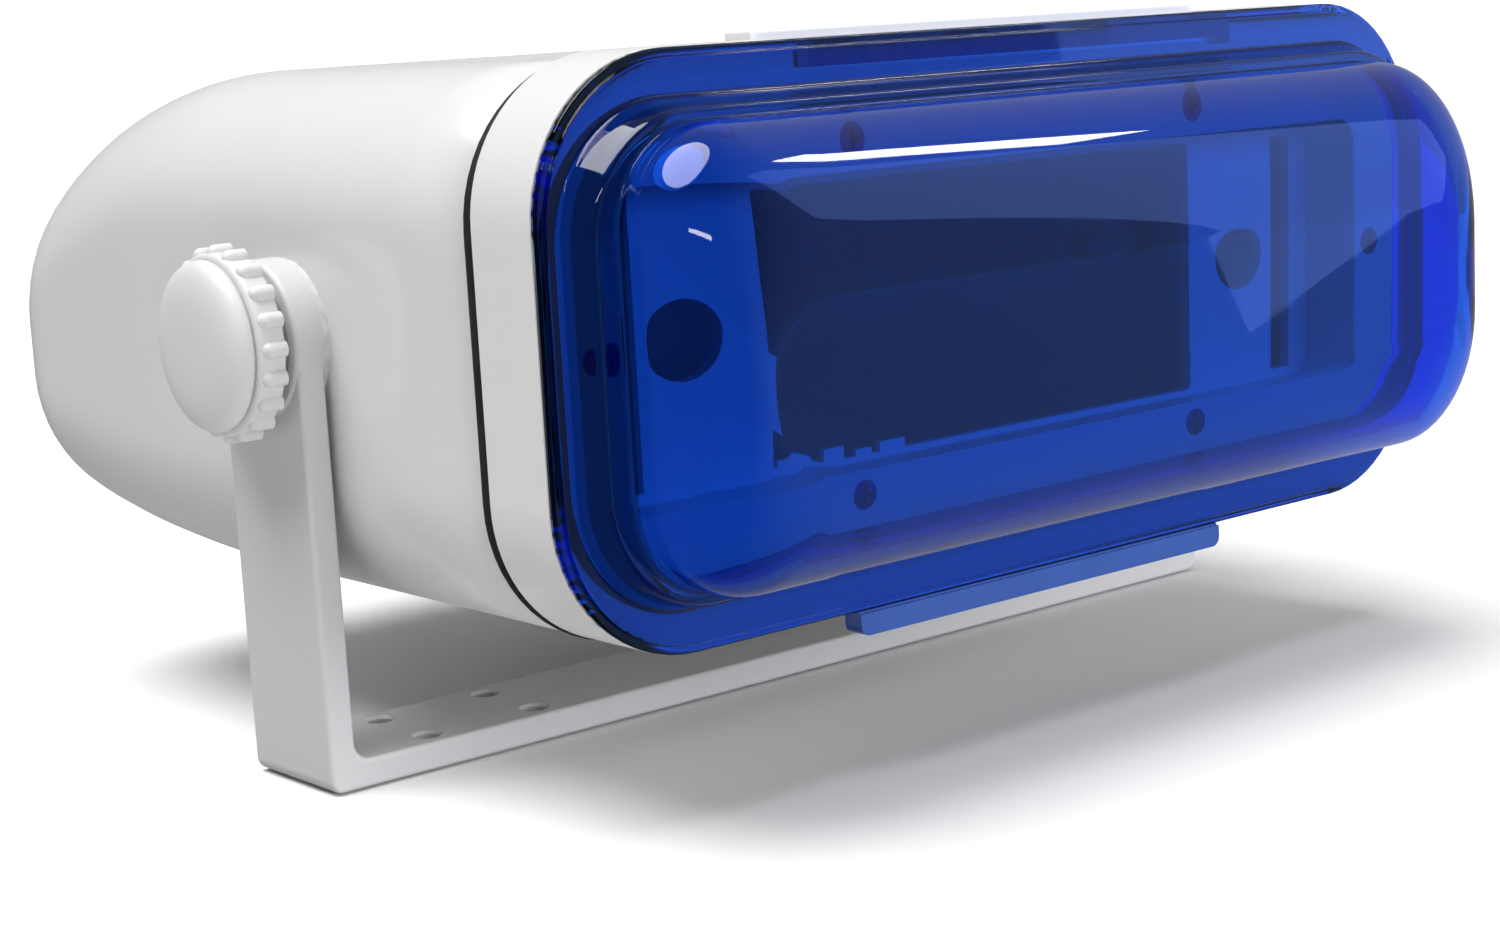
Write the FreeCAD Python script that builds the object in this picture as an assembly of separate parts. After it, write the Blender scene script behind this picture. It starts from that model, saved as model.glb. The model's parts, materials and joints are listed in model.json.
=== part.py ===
import FreeCAD, Part
import os
from math import cos, pi, radians, sin, sqrt

# Splash-proof housing for a two-shaft radio: a deep rounded shell with a flip-up
# translucent cover, held between the legs of a U bracket by two clamp knobs.
# Millimetres. +X right, +Y to the rear, +Z up. Origin: centre of the bracket base's underside.

V = FreeCAD.Vector

# ---- driving dimensions ----
BRACKET_WIDTH = 240.0          # outside of leg to outside of leg
BRACKET_DEPTH = 28.0
BRACKET_T = 5.4
BEND_OUTER_R = 2.4
BEND_INNER_R = 3.5
BRACKET_EDGE_R = 0.9
LEAD_IN = 0.5                  # countersink round each base hole
PIVOT_Z = 83.5
LEG_HEAD_R = 14.6
LEG_HEAD_PROUD = 0.5           # the round head stands this far out of the leg's outer face
BASE_HOLE_R = 2.5
BASE_HOLE_X = (70.5, 95.5)     # column centres, mirrored to the other end
BASE_HOLE_Y = 8.4              # row centres, front and rear

HEAD_HALF_W = 114.0            # cover flange and bezel outline
HEAD_HALF_H = 51.0
HEAD_Z = 81.7
HEAD_CORNER_R = 28.0
FLANGE_FRONT_Y = -81.6
FLANGE_T = 1.9
BEZEL_FRONT_Y = -79.3
BEZEL_REAR_Y = -62.7
BEZEL_WALL = 3.0
GASKET_T = 1.8
GASKET_HALF = (113.6, 50.7)     # stands a little proud of the shell
GASKET_Z = 81.1
GASKET_LIP = 3.6               # how far the gasket reaches in from its outside
SHELL_HALF_W = 113.3
SHELL_HALF_H = 50.2
SHELL_Z = 80.7
SHELL_WALL = 3.0
SHELL_REAR_Y = 124.0
SHELL_SIDE_CLOSE = (20.0, 18.0)     # length and inset of the rounding into the rear wall
SHELL_TOP_CLOSE = (86.0, 46.0)
SHELL_BOTTOM_CLOSE = (92.0, 17.6)

PLATE_FRONT_Y = -66.8          # recessed face plate
PLATE_T = 2.4
RECESS_HALF = (95.5, 27.8)
RECESS_CORNER_R = 5.0
TRAY_WALL = 1.4
FACE_Z = 82.0                  # centre height of everything on the face plate
OPENING_HALF = (57.5, 26.2)
SHAFT_HOLE_X = 73.0
SHAFT_HOLE_R = 7.25
SLOT_X = 86.5
SLOT_W = 6.0
SLOT_H = 51.0

COVER_WALL = 2.4
TIER_DEPTH = 6.8
TIER_BASE_HALF = (110.2, 42.8)
TIER_TOP_HALF = (108.6, 41.2)
TIER_CORNER_R = 22.0
DOME_DEPTH = 29.5              # dome front ahead of the flange front
DOME_HALF = (103.6, 39.1)
DOME_CORNER_R = 17.5
DOME_SIDE_CLOSE = (16.0, 12.0)
DOME_TOP_CLOSE = (19.0, 27.0)
DOME_BOTTOM_CLOSE = (16.0, 20.0)

HINGE_Y = -75.3
HINGE_Z = 129.7
HINGE_PIN_R = 1.2
HINGE_HALF_L = 56.5
BARREL_R = 2.4
SWING_R = 4.3                  # the bezel's top front edge is rounded to this about the hinge axis
TAB_HALF_L = 49.0
TAB_BOTTOM_Z = 26.2
TAB_REAR_Y = -77.2
TAB_END_R = 2.0

SCREW_SPOTS = [(-100.3, 82.7), (100.3, 82.7), (-45.0, 48.6), (45.0, 48.6), (-45.0, 115.2), (45.0, 115.2)]
SCREW_R = 1.6
SCREW_HEAD_R = 2.9
SCREW_HEAD_T = 1.6
CROSS_HALF_L = 1.7             # cross recess
CROSS_HALF_W = 0.35
CROSS_DEPTH = 0.9
POST_R = 3.0

STUD_R = 4.0
INSERT_R = 6.5
INSERT_L = 14.0
PIVOT_BOSS_R = 10.0
KNOB_R = 18.0
KNOB_CAP_R = 15.6
KNOB_RIM_T = 5.0
KNOB_RIBS = 20
KNOB_INNER_X = 124.0           # inner face of the scalloped rim

RUNNING = 0.08                 # radial clearance of a part that turns on another
SEAT = 0.05                    # axial clearance between stacked parts

SHELL_BOSS_REAR_Y = -38.0
STRAP_Y = 97.0                 # radio support strap, front face of its upright
STRAP_FOOT_Z = 44.0
STRAP_FOOT_Y = STRAP_Y - 22
STRAP_TOP_Z = 98.0
STRAP_HALF_W = 10.0
STRAP_T = 1.5
STRAP_SLOT_HALF_W = 2.75
STRAP_SLOT_Z = (62.0, 92.0)
STRAP_BOSS_R = 6.0
STRAP_SCREW_Y = STRAP_Y - 12
STRAP_SCREW_TIP_Z = STRAP_FOOT_Z - 7
STRAP_SCREW_HEAD_R = 3.2
STRAP_SCREW_HEAD_T = 2.2
STRAP_SCREW_EDGE_R = 0.9
STRAP_SCREW_SLOT_W = 0.8
GROMMET_Z = 66.5
GROMMET_R = 9.0


# ---- values that follow from them, and small details ----
TINY = 0.01                    # tolerance for picking edges
HEAD_TOP_Z = HEAD_Z + HEAD_HALF_H
HEAD_BOTTOM_Z = HEAD_Z - HEAD_HALF_H
LEG_OUTER_X = BRACKET_WIDTH / 2
LEG_INNER_X = LEG_OUTER_X - BRACKET_T
SHELL_FRONT_Y = BEZEL_REAR_Y + GASKET_T
SHELL_BOSS_R = 4.5
WEB_T = 3.0
PIVOT_WASHER_R = 14.3
PIVOT_WASHER_EASE = 0.3
INSERT_GROOVES = (4.0, 8.0)    # knurl bands of the insert, from its outer end
INSERT_GROOVE_DEPTH = 0.5
SCREW_TIP_Y = -44.0
NOTCH_HALF_L = HINGE_HALF_L + 0.7      # bezel notch that takes the cover's hinge leaf
NOTCH_REAR_Y = -70.5
NOTCH_FLOOR_Z = 126.3
HINGE_PIN_HALF_L = NOTCH_HALF_L + 4
HINGE_BLOCK_FLOOR_T = 1.8
CAP_Y = -66.75                 # middle of the raised strip behind the hinge notch
CAP_STRIP_W = 6.9
CAP_STRIP_T = 1.6
CAP_STRIP_EDGE_R = 0.5
PEG_X = (-40.0, 0.0, 40.0)
PEG_R = 1.2
PEG_TIP_Z = HEAD_TOP_Z - 2
ARM_DROP = 2.1                 # the hinge arm reaches this far below the pin
TAB_GAP = 0.4                  # the tab's rear part stays this far below the flange
BEAD_DEPTH = 1.2
BEAD_GAP = 0.1
BEAD_EASE = 0.6
SEAL_HALF = (112.0, 43.3)
SEAL_CORNER_R = 24.0
SEAL_W = 2.0
SEAL_REAR_Y = BEZEL_FRONT_Y + 1.5
LIP_W = 1.5                    # low rim round the cover flange
LIP_STEP = 0.6
GROMMET_BORE_R = 6.0
GROMMET_LIP_R = GROMMET_R + 2
GROMMET_LIP_T = 1.8
CLOSING_STEPS = 9
OPENING_CORNER_R = 1.5
BREAKOUT_STUBS = [(-56.5, 9.0, 1.6), (-44.0, 5.0, 2.4), (-36.0, 4.0, 1.2), (-30.0, 6.5, 1.8)]
STUB_T = 1.2
HUB_X = LEG_OUTER_X + 1.75
HUB_R = 11.5
KNOB_WASHER_R = 12.0
KNOB_EDGE_R = 1.2
HEX_AF = 13.0
HEX_X = 123.0
STUD_TIP_X = SHELL_HALF_W - 12
STUD_CHAMFER = 0.8
RIB_R = 1.5
RIB_SINK = 0.2
RIB_END = 2.0                  # the ribs' round ends start this far below the rim's outer face
CAP_PLUG_R = 13.0
CAP_PLUG_L = 1.5
CAP_EDGE_R = 4.2
CAP_T = 5.0
CAP_GROOVE = 0.4
CAP_CROWN_R = 60.0


# ---- helpers ----
def outline(half_w, bottom, top, r, y):
    """Rounded rectangle in the XZ plane at depth y: four arcs and four lines."""
    r = min(r, 0.94 * (top - bottom) / 2)
    x = half_w - r
    centres = [(x, top - r), (-x, top - r), (-x, bottom + r), (x, bottom + r)]

    def at(corner, degrees):
        cx, cz = centres[corner % 4]
        return V(cx + r * cos(radians(degrees)), y, cz + r * sin(radians(degrees)))

    edges = []
    for corner in range(4):
        start, end = 90 * corner, 90 * corner + 90
        edges.append(Part.Arc(at(corner, start), at(corner, start + 45), at(corner, end)).toShape())
        edges.append(Part.LineSegment(at(corner, end), at(corner + 1, end)).toShape())
    return Part.Wire(edges)


def slab(half, r, y0, y1, z=HEAD_Z):
    """Rounded rectangular plate between two depths."""
    half_w, half_h = half
    return Part.Face(outline(half_w, z - half_h, z + half_h, r, y0)).extrude(V(0, y1 - y0, 0))


def shrunk(half, by):
    return (half[0] - by, half[1] - by)


def box(x0, x1, y0, y1, z0, z1):
    return Part.makeBox(x1 - x0, y1 - y0, z1 - z0, V(x0, y0, z0))


def rod_x(r, x0, x1, y, z):
    return Part.makeCylinder(r, x1 - x0, V(x0, y, z), V(1, 0, 0))


def rod_y(r, y0, y1, x, z):
    return Part.makeCylinder(r, y1 - y0, V(x, y0, z), V(0, 1, 0))


def rod_z(r, z0, z1, x, y):
    return Part.makeCylinder(r, z1 - z0, V(x, y, z0), V(0, 0, 1))


def tube_x(r_out, r_in, x0, x1):
    """Ring about the pivot axis."""
    return rod_x(r_out, x0, x1, 0, PIVOT_Z).cut(rod_x(r_in, x0 - 1, x1 + 1, 0, PIVOT_Z))


def fused(shapes):
    return shapes[0].fuse(shapes[1:]).removeSplitter()


def inset(distance, close):
    """How far an elliptic rounding has pulled in at a distance from the closed end."""
    length, depth = close
    if distance >= length:
        return 0.0
    u = 1 - distance / length
    return depth * (1 - sqrt(max(0.0, 1 - u * u)))


def closing_body(half, z, r, y_open, y_end, side, top, bottom):
    """Straight tube from y_open whose sides, top and bottom round over into a flat end at y_end."""
    sign = 1 if y_end > y_open else -1
    longest = max(side[0], top[0], bottom[0])
    y_turn = y_end - sign * longest
    wires = []
    for step in range(CLOSING_STEPS + 1):
        distance = longest * (1 - sin(pi / 2 * step / CLOSING_STEPS))
        wires.append(outline(
            half[0] - inset(distance, side),
            z - half[1] + inset(distance, bottom),
            z + half[1] - inset(distance, top),
            r,
            y_end - sign * distance,
        ))
    straight = slab(half, r, y_open, y_turn, z)
    return fused([straight, Part.makeLoft(wires, True, False)])


def tapered(half0, half1, r, y0, y1):
    """Straight loft between two rounded rectangles, each at its own depth."""
    wires = []
    for half, y in ((half0, y0), (half1, y1)):
        wires.append(outline(half[0], HEAD_Z - half[1], HEAD_Z + half[1], r, y))
    return Part.makeLoft(wires, True, True)


def mirrored(shape):
    return shape.mirror(V(0, 0, 0), V(1, 0, 0))


# ---- bracket ----
def base_holes():
    holes = []
    for x in BASE_HOLE_X:
        for sx in (-1, 1):
            for sy in (-1, 1):
                holes.append(rod_z(BASE_HOLE_R, -1, BRACKET_T + 1, sx * x, sy * BASE_HOLE_Y))
                lead_in = Part.makeCone(BASE_HOLE_R, BASE_HOLE_R + LEAD_IN, LEAD_IN)
                lead_in.translate(V(sx * x, sy * BASE_HOLE_Y, BRACKET_T - LEAD_IN))
                holes.append(lead_in)
    return holes


def low_ends(block, z):
    """The two edges along Y at the ends of a block's underside."""
    low = [e for e in block.Edges if abs(e.BoundBox.ZMax - z) < TINY]
    return [e for e in low if e.BoundBox.XLength < TINY]


def gimbal_bracket():
    half_d = BRACKET_DEPTH / 2
    top = PIVOT_Z + LEG_HEAD_R
    outer = box(-LEG_OUTER_X, LEG_OUTER_X, -half_d, half_d, 0, top)
    outer = outer.makeFillet(BEND_OUTER_R, low_ends(outer, 0))
    inner = box(-LEG_INNER_X, LEG_INNER_X, -half_d - 1, half_d + 1, BRACKET_T, top + 1)
    inner = inner.makeFillet(BEND_INNER_R, low_ends(inner, BRACKET_T))
    bent = outer.cut(inner)
    below = box(-LEG_OUTER_X - 1, LEG_OUTER_X + 1, -half_d - 1, half_d + 1, -1, PIVOT_Z)
    around = rod_x(half_d, -LEG_OUTER_X - 1, LEG_OUTER_X + 1, 0, PIVOT_Z)
    bent = bent.common(below.fuse(around))
    flat = [e for e in bent.Edges if e.BoundBox.YLength < TINY]
    long_edges = [e for e in flat if abs(abs(e.CenterOfMass.y) - half_d) < TINY]
    bent = bent.makeFillet(BRACKET_EDGE_R, long_edges)
    head = rod_x(LEG_HEAD_R, LEG_INNER_X, LEG_OUTER_X + LEG_HEAD_PROUD, 0, PIVOT_Z)
    head = head.makeFillet(BRACKET_EDGE_R, [e for e in head.Edges if e.BoundBox.XMin > LEG_OUTER_X])
    body = fused([bent, head, mirrored(head)])
    bore = rod_x(STUD_R + RUNNING, -LEG_OUTER_X - 2, LEG_OUTER_X + 2, 0, PIVOT_Z)
    return body.cut(Part.makeCompound([bore])).cut(Part.makeCompound(base_holes()))


# ---- housing ----
def shell_block(wall):
    half = shrunk((SHELL_HALF_W, SHELL_HALF_H), wall)
    y_open = SHELL_FRONT_Y if wall == 0 else SHELL_FRONT_Y - 1
    return closing_body(
        half, SHELL_Z, HEAD_CORNER_R - wall, y_open, SHELL_REAR_Y - wall,
        SHELL_SIDE_CLOSE, SHELL_TOP_CLOSE, SHELL_BOTTOM_CLOSE,
    )


def screw_bosses():
    """Columns for the six face screws, each webbed to the nearest wall."""
    bosses = []
    for x, z in SCREW_SPOTS:
        bosses.append(rod_y(SHELL_BOSS_R, SHELL_FRONT_Y, SHELL_BOSS_REAR_Y, x, z))
        if SHELL_HALF_W - abs(x) < SHELL_HALF_H - abs(z - SHELL_Z):
            x0, x1 = sorted((x, x / abs(x) * SHELL_HALF_W))
            bosses.append(box(x0, x1, SHELL_FRONT_Y, SHELL_BOSS_REAR_Y, z - WEB_T / 2, z + WEB_T / 2))
        else:
            wall_z = SHELL_Z + SHELL_HALF_H * (1 if z > SHELL_Z else -1)
            z0, z1 = sorted((z, wall_z))
            bosses.append(box(x - WEB_T / 2, x + WEB_T / 2, SHELL_FRONT_Y, SHELL_BOSS_REAR_Y, z0, z1))
    return bosses


def rear_shell():
    outer = shell_block(0)
    skin = outer.cut(shell_block(SHELL_WALL))
    pivot_boss = rod_x(PIVOT_BOSS_R, SHELL_HALF_W - INSERT_L - 1, SHELL_HALF_W - 1, 0, PIVOT_Z)
    strap_boss = rod_z(STRAP_BOSS_R, SHELL_Z - SHELL_HALF_H + 1, STRAP_FOOT_Z, 0, STRAP_SCREW_Y)
    inside = [pivot_boss, mirrored(pivot_boss), strap_boss] + screw_bosses()
    body = fused([skin] + [shape.common(outer) for shape in inside])
    cuts = [rod_x(INSERT_R, SHELL_HALF_W - INSERT_L, SHELL_HALF_W + 2, 0, PIVOT_Z)]
    cuts.append(mirrored(cuts[0]))
    cuts += [rod_y(SCREW_R, SHELL_FRONT_Y - 1, SCREW_TIP_Y, x, z) for x, z in SCREW_SPOTS]
    cuts.append(rod_z(SCREW_R, STRAP_SCREW_TIP_Z, STRAP_FOOT_Z + 1, 0, STRAP_SCREW_Y))
    cuts.append(rod_y(GROMMET_R, SHELL_REAR_Y - 10, SHELL_REAR_Y + 5, 0, GROMMET_Z))
    return body.cut(Part.makeCompound(cuts))


def pivot_insert():
    insert = tube_x(INSERT_R, STUD_R + RUNNING, SHELL_HALF_W - INSERT_L, SHELL_HALF_W)
    grooves = []
    for depth in INSERT_GROOVES:
        x = SHELL_HALF_W - depth
        grooves.append(tube_x(INSERT_R + 1, INSERT_R - INSERT_GROOVE_DEPTH, x - 1, x))
    return insert.cut(Part.makeCompound(grooves))


def pivot_washer():
    return tube_x(PIVOT_WASHER_R, STUD_R + PIVOT_WASHER_EASE, SHELL_HALF_W, LEG_INNER_X - SEAT)


def shell_gasket():
    ring = slab(GASKET_HALF, HEAD_CORNER_R, BEZEL_REAR_Y, SHELL_FRONT_Y, GASKET_Z)
    inner_half = shrunk(GASKET_HALF, GASKET_LIP)
    inner_r = HEAD_CORNER_R - GASKET_LIP
    return ring.cut(slab(inner_half, inner_r, BEZEL_REAR_Y - 1, SHELL_FRONT_Y + 1, GASKET_Z))


def hinge_notch():
    """Room for the cover's hinge leaf, and the rounding that lets the cover's top edge swing past."""
    notch = box(-NOTCH_HALF_L, NOTCH_HALF_L, BEZEL_FRONT_Y - 1, NOTCH_REAR_Y, NOTCH_FLOOR_Z, HEAD_TOP_Z + 1)
    swing = box(-HEAD_HALF_W, HEAD_HALF_W, BEZEL_FRONT_Y - 1, HINGE_Y, HINGE_Z, HEAD_TOP_Z + 1)
    swing = swing.cut(rod_x(SWING_R, -HEAD_HALF_W - 1, HEAD_HALF_W + 1, HINGE_Y, HINGE_Z))
    return [notch, swing]


def bead_groove():
    """Shallow groove under the bezel that the cover's snap bead sits in."""
    half_l = TAB_HALF_L + 1
    y0, y1 = TAB_REAR_Y - BEAD_DEPTH - BEAD_EASE, TAB_REAR_Y + BEAD_EASE
    return box(-half_l, half_l, y0, y1, HEAD_BOTTOM_Z - 1, HEAD_BOTTOM_Z + BEAD_EASE)


def front_bezel():
    half = (HEAD_HALF_W, HEAD_HALF_H)
    wall_rear_y = BEZEL_FRONT_Y + BEZEL_WALL
    body = slab(half, HEAD_CORNER_R, BEZEL_FRONT_Y, BEZEL_REAR_Y)
    cavity = slab(shrunk(half, BEZEL_WALL), HEAD_CORNER_R - BEZEL_WALL, wall_rear_y, BEZEL_REAR_Y + 1)
    window = slab(RECESS_HALF, RECESS_CORNER_R, BEZEL_FRONT_Y - 1, BEZEL_REAR_Y, FACE_Z)
    body = body.cut(cavity).cut(window)
    posts = [rod_y(POST_R, wall_rear_y - 1, SHELL_FRONT_Y, x, z) for x, z in SCREW_SPOTS]
    block_l = HINGE_PIN_HALF_L + 1
    block_z = NOTCH_FLOOR_Z - HINGE_BLOCK_FLOOR_T
    hinge_block = box(-block_l, block_l, wall_rear_y - 1, NOTCH_REAR_Y + 2, block_z, HEAD_TOP_Z - 1)
    body = fused([body, hinge_block] + posts)
    cuts = hinge_notch()
    cuts.append(rod_x(HINGE_PIN_R, -HINGE_PIN_HALF_L, HINGE_PIN_HALF_L, HINGE_Y, HINGE_Z))
    cuts.append(seal_ring(BEZEL_FRONT_Y - 1))
    cuts.append(bead_groove())
    cuts += [rod_y(SCREW_R, BEZEL_FRONT_Y - 1, SHELL_FRONT_Y + 1, x, z) for x, z in SCREW_SPOTS]
    cuts += [screw_head(x, z) for x, z in SCREW_SPOTS]
    cuts += [rod_z(PEG_R, PEG_TIP_Z, HEAD_TOP_Z + 1, x, CAP_Y) for x in PEG_X]
    return body.cut(Part.makeCompound(cuts))


def seal_ring(front_y):
    ring = slab(SEAL_HALF, SEAL_CORNER_R, front_y, SEAL_REAR_Y)
    return ring.cut(slab(shrunk(SEAL_HALF, SEAL_W), SEAL_CORNER_R - SEAL_W, front_y - 1, SEAL_REAR_Y + 1))


def face_plate():
    outer = (RECESS_HALF[0] + TRAY_WALL, RECESS_HALF[1] + TRAY_WALL)
    tray_front_y = BEZEL_FRONT_Y + BEZEL_WALL
    tray = slab(outer, RECESS_CORNER_R + TRAY_WALL, tray_front_y, PLATE_FRONT_Y + PLATE_T, FACE_Z)
    tray = tray.cut(slab(RECESS_HALF, RECESS_CORNER_R, tray_front_y - 1, PLATE_FRONT_Y, FACE_Z))
    y0, y1 = PLATE_FRONT_Y - 1, PLATE_FRONT_Y + PLATE_T + 1
    cuts = [slab(OPENING_HALF, OPENING_CORNER_R, y0, y1, FACE_Z)]
    for side in (-1, 1):
        cuts.append(rod_y(SHAFT_HOLE_R, y0, y1, side * SHAFT_HOLE_X, FACE_Z))
        slot_x0 = side * SLOT_X - SLOT_W / 2
        slot_z0 = FACE_Z - SLOT_H / 2
        cuts.append(box(slot_x0, slot_x0 + SLOT_W, y0, y1, slot_z0, slot_z0 + SLOT_H))
    plate = tray.cut(Part.makeCompound(cuts))
    stubs = []
    z0 = FACE_Z - OPENING_HALF[1]
    for x, width, height in BREAKOUT_STUBS:
        stubs.append(box(x, x + width, PLATE_FRONT_Y, PLATE_FRONT_Y + STUB_T, z0 - 1, z0 + height))
    return fused([plate] + stubs)


def screw_head(x, z):
    """Countersunk head, flush with the bezel front."""
    cone = Part.makeCone(SCREW_HEAD_R, SCREW_R, SCREW_HEAD_T, V(0, 0, 0), V(0, 1, 0))
    cone.translate(V(x, BEZEL_FRONT_Y, z))
    return cone


def face_plate_screws():
    screws = []
    for x, z in SCREW_SPOTS:
        shank = rod_y(SCREW_R, BEZEL_FRONT_Y + 1, SCREW_TIP_Y, x, z)
        screw = fused([screw_head(x, z), shank])
        y0, y1 = BEZEL_FRONT_Y - 1, BEZEL_FRONT_Y + CROSS_DEPTH
        cross = [
            box(x - long, x + long, y0, y1, z - tall, z + tall)
            for long, tall in ((CROSS_HALF_L, CROSS_HALF_W), (CROSS_HALF_W, CROSS_HALF_L))
        ]
        screws.append(screw.cut(cross))
    return Part.makeCompound(screws)


def hinge_cap():
    """Raised strip on the bezel's top, behind the hinge notch, held by three pegs."""
    z0, z1 = HEAD_TOP_Z, HEAD_TOP_Z + CAP_STRIP_T
    y0, y1 = CAP_Y - CAP_STRIP_W / 2, CAP_Y + CAP_STRIP_W / 2
    strip = box(-NOTCH_HALF_L - 1, NOTCH_HALF_L + 1, y0, y1, z0, z1)
    strip = strip.makeFillet(CAP_STRIP_EDGE_R, [e for e in strip.Edges if e.BoundBox.ZMin > z0 + 1])
    return fused([strip] + [rod_z(PEG_R, PEG_TIP_Z, z0 + 0.5, x, CAP_Y) for x in PEG_X])


def hinge_pin():
    return rod_x(HINGE_PIN_R, -HINGE_PIN_HALF_L, HINGE_PIN_HALF_L, HINGE_Y, HINGE_Z)


def radio_support_strap():
    """L-shaped strap: the foot is screwed to the shell, the slot takes the radio's rear stud."""
    x = STRAP_HALF_W
    rear_y = STRAP_Y + STRAP_T
    foot = box(-x, x, STRAP_FOOT_Y, rear_y, STRAP_FOOT_Z, STRAP_FOOT_Z + STRAP_T)
    upright = box(-x, x, STRAP_Y, rear_y, STRAP_FOOT_Z, STRAP_TOP_Z)
    slot = box(-STRAP_SLOT_HALF_W, STRAP_SLOT_HALF_W, STRAP_Y - 1, rear_y + 1, *STRAP_SLOT_Z)
    screw_hole = rod_z(SCREW_R, STRAP_FOOT_Z - 1, STRAP_FOOT_Z + STRAP_T + 1, 0, STRAP_SCREW_Y)
    return fused([foot, upright]).cut(slot.fuse(screw_hole))


def strap_screw():
    z0 = STRAP_FOOT_Z + STRAP_T
    z1 = z0 + STRAP_SCREW_HEAD_T
    head = rod_z(STRAP_SCREW_HEAD_R, z0, z1, 0, STRAP_SCREW_Y)
    head = head.makeFillet(STRAP_SCREW_EDGE_R, [e for e in head.Edges if e.BoundBox.ZMin > z0 + 1])
    shank = rod_z(SCREW_R, STRAP_SCREW_TIP_Z + 1, z0 + 0.5, 0, STRAP_SCREW_Y)
    half_w = STRAP_SCREW_SLOT_W / 2
    reach = STRAP_SCREW_HEAD_R + 1
    slot = box(-reach, reach, STRAP_SCREW_Y - half_w, STRAP_SCREW_Y + half_w, z1 - 1, z1 + 1)
    return fused([head, shank]).cut(slot)


def cable_grommet():
    """Ring with a groove that the rear wall sits in."""
    inside_y, outside_y = SHELL_REAR_Y - SHELL_WALL, SHELL_REAR_Y
    y0, y1 = inside_y - GROMMET_LIP_T, outside_y + GROMMET_LIP_T
    lips = [
        rod_y(GROMMET_LIP_R, y0, inside_y, 0, GROMMET_Z),
        rod_y(GROMMET_LIP_R, outside_y, y1, 0, GROMMET_Z),
    ]
    neck = rod_y(GROMMET_R, y0, y1, 0, GROMMET_Z)
    return fused([neck] + lips).cut(rod_y(GROMMET_BORE_R, y0 - 1, y1 + 1, 0, GROMMET_Z))


# ---- cover ----
def cover_lens():
    half = (HEAD_HALF_W, HEAD_HALF_H)
    rear_y = FLANGE_FRONT_Y + FLANGE_T
    tier_y = FLANGE_FRONT_Y - TIER_DEPTH
    dome_y = FLANGE_FRONT_Y - DOME_DEPTH
    closes = (DOME_SIDE_CLOSE, DOME_TOP_CLOSE, DOME_BOTTOM_CLOSE)
    solid = fused([
        slab(half, HEAD_CORNER_R, FLANGE_FRONT_Y + LIP_STEP, rear_y),
        slab(shrunk(half, LIP_W), HEAD_CORNER_R - LIP_W, FLANGE_FRONT_Y, rear_y),
        tapered(TIER_BASE_HALF, TIER_TOP_HALF, TIER_CORNER_R, FLANGE_FRONT_Y, tier_y),
        closing_body(DOME_HALF, HEAD_Z, DOME_CORNER_R, tier_y + 1, dome_y, *closes),
    ])
    w = COVER_WALL
    base_in, top_in, dome_in = (shrunk(half, w) for half in (TIER_BASE_HALF, TIER_TOP_HALF, DOME_HALF))
    tier_r_in, dome_r_in = TIER_CORNER_R - w, DOME_CORNER_R - w
    hollow = fused([
        slab(base_in, tier_r_in, FLANGE_FRONT_Y, rear_y + 1),
        tapered(base_in, top_in, tier_r_in, FLANGE_FRONT_Y, tier_y + w),
        closing_body(dome_in, HEAD_Z, dome_r_in, tier_y + w + 1, dome_y + w, *closes),
    ])
    return solid.cut(hollow)


def cover_hinge_leaf():
    flange_rear_y = FLANGE_FRONT_Y + FLANGE_T
    barrel = rod_x(BARREL_R, -HINGE_HALF_L, HINGE_HALF_L, HINGE_Y, HINGE_Z)
    arm = box(-HINGE_HALF_L, HINGE_HALF_L, flange_rear_y, HINGE_Y, HINGE_Z - ARM_DROP, HINGE_Z + BARREL_R)
    bore = rod_x(HINGE_PIN_R + RUNNING, -HINGE_HALF_L - 1, HINGE_HALF_L + 1, HINGE_Y, HINGE_Z)
    return fused([barrel, arm]).cut(bore)


def cover_latch_tab():
    """Finger tab below the flange; its rear edge carries the bead that snaps under the bezel."""
    x = TAB_HALF_L
    flange_rear_y = FLANGE_FRONT_Y + FLANGE_T
    block = box(-x, x, FLANGE_FRONT_Y, TAB_REAR_Y, TAB_BOTTOM_Z, HEAD_BOTTOM_Z - TAB_GAP)
    low = [e for e in block.Edges if e.BoundBox.ZMin < TAB_BOTTOM_Z + TINY]
    ends = [e for e in low if e.BoundBox.XLength < TINY and e.BoundBox.ZLength < TINY]
    block = block.makeFillet(TAB_END_R, ends)
    front = box(-x, x, FLANGE_FRONT_Y + LIP_STEP, flange_rear_y, HEAD_BOTTOM_Z - 1, HEAD_BOTTOM_Z)
    bead_top = HEAD_BOTTOM_Z - BEAD_GAP
    bead = box(-x + 2, x - 2, TAB_REAR_Y - BEAD_DEPTH, TAB_REAR_Y, bead_top - 1, bead_top)
    return fused([block, front, bead])


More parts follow.
